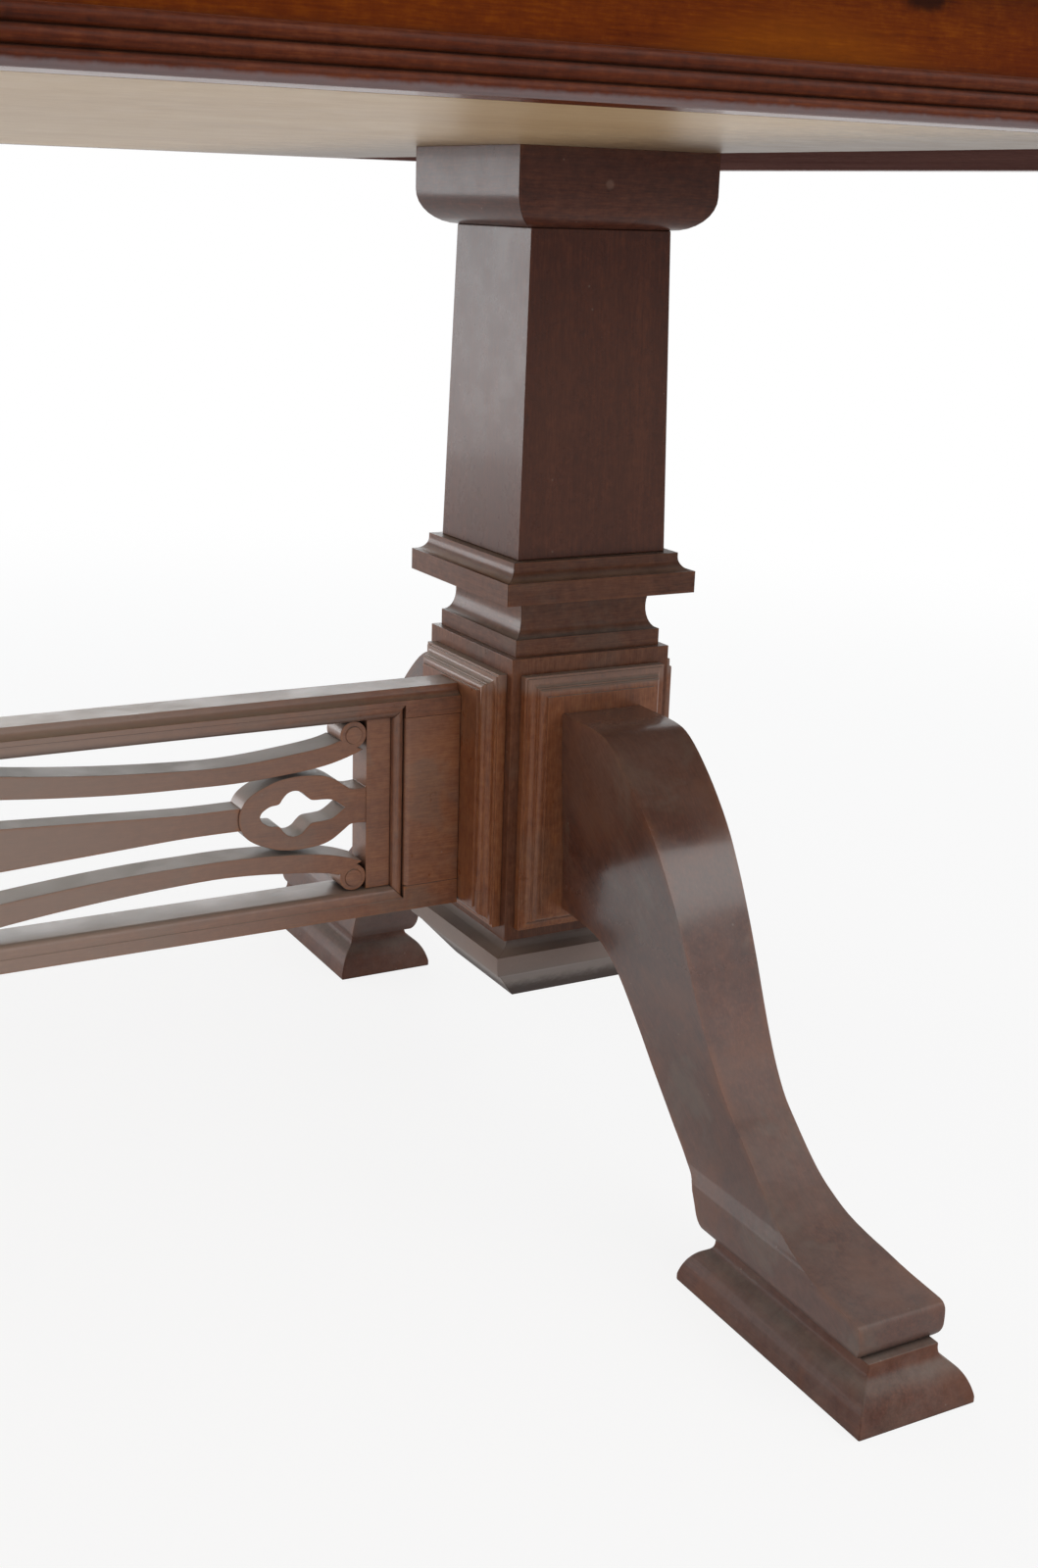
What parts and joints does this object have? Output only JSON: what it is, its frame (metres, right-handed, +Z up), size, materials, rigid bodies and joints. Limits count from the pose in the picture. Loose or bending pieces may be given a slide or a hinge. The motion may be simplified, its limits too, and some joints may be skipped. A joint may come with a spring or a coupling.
{
  "type": "extending dining table",
  "caption": "Pedestal dining table with a fretwork stretcher; its top slides apart on geared runners to take a leaf stored below.",
  "frame": {"origin": "on the floor under the middle of the closed table", "axes": "+X along the table's length towards the right-hand end, +Y towards its back, +Z up"},
  "size_m": [2.03, 1.11, 0.762],
  "materials": {
    "mahogany": "semi-gloss polished brown mahogany",
    "figured_mahogany": "glossy orange-brown figured mahogany",
    "pale_wood": "bare pale secondary timber",
    "dark_stain": "matt dark stained timber",
    "brass": "plain brass",
    "steel": "plain steel"
  },
  "bodies": {
    "frame": {"cap_right": "mahogany", "cap_left": "mahogany", "shaft_right": "mahogany", "shaft_left": "mahogany", "collar_right": "mahogany", "collar_left": "mahogany", "block_right": "mahogany", "block_left": "mahogany", "raised_panels_right": "mahogany", "raised_panels_left": "mahogany", "base_moulding_right": "mahogany", "base_moulding_left": "mahogany", "leg_front_right": "mahogany", "leg_back_right": "mahogany", "leg_front_left": "mahogany", "leg_back_left": "mahogany", "feet_right": "mahogany", "feet_left": "mahogany", "tie_rods": "steel", "frame_bolts": "steel", "stretcher_top_rail": "mahogany", "stretcher_bottom_rail": "mahogany", "stretcher_stiles": "mahogany", "stretcher_beads": "mahogany", "fret_ends": "mahogany", "fret_upper_bars": "mahogany", "fret_lower_bars": "mahogany", "fret_middle_bars": "mahogany", "fret_tablet": "mahogany", "well_board": "pale_wood", "cross_rails": "pale_wood", "bearers": "pale_wood", "frame_screws": "brass", "pinion_pin": "steel", "leaf": "figured_mahogany", "leaf_pegs": "pale_wood"},
    "top_right": {"top_right": "figured_mahogany", "side_aprons_right": "figured_mahogany", "end_apron_right": "figured_mahogany", "reeding_right": "figured_mahogany", "corner_blocks_right": "pale_wood", "end_board_right": "dark_stain", "runners_right": "pale_wood", "rack_right": "brass", "runner_screws_right": "brass", "top_pegs": "pale_wood", "lock_plates": "brass"},
    "top_left": {"top_left": "figured_mahogany", "side_aprons_left": "figured_mahogany", "end_apron_left": "figured_mahogany", "reeding_left": "figured_mahogany", "corner_blocks_left": "pale_wood", "end_board_left": "dark_stain", "runners_left": "pale_wood", "rack_left": "brass", "runner_screws_left": "brass", "lock_keepers": "brass"},
    "pinion": {"pinion": "brass"},
    "lock_front": {"lock_arm_front": "brass"},
    "lock_back": {"lock_arm_back": "brass"}
  },
  "joints": [
    {"name": "slide_right", "type": "slide", "parent": "frame", "child": "top_right", "axis": [1, 0, 0], "range_m": [0, 0.225]},
    {"name": "slide_left", "type": "slide", "parent": "frame", "child": "top_left", "axis": [-1, 0, 0], "range_m": [0, 0.225]},
    {"name": "pinion_turn", "type": "hinge", "parent": "frame", "child": "pinion", "pos_m": [0, -0.3, 0.731], "axis": [0, 0, 1], "range_deg": [0, 716.6]},
    {"name": "lock_front_turn", "type": "hinge", "parent": "top_right", "child": "lock_front", "pos_m": [0.03, -0.4495, 0.7356], "axis": [0, 0, 1], "range_deg": [0, 90]},
    {"name": "lock_back_turn", "type": "hinge", "parent": "top_right", "child": "lock_back", "pos_m": [0.03, 0.4495, 0.7356], "axis": [0, 0, -1], "range_deg": [0, 90]}
  ],
  "couplings": [
    {"joint": "slide_left", "follows": "slide_right", "ratio": 1},
    {"joint": "pinion_turn", "follows": "slide_right", "rad_per_m": 55.556}
  ]
}
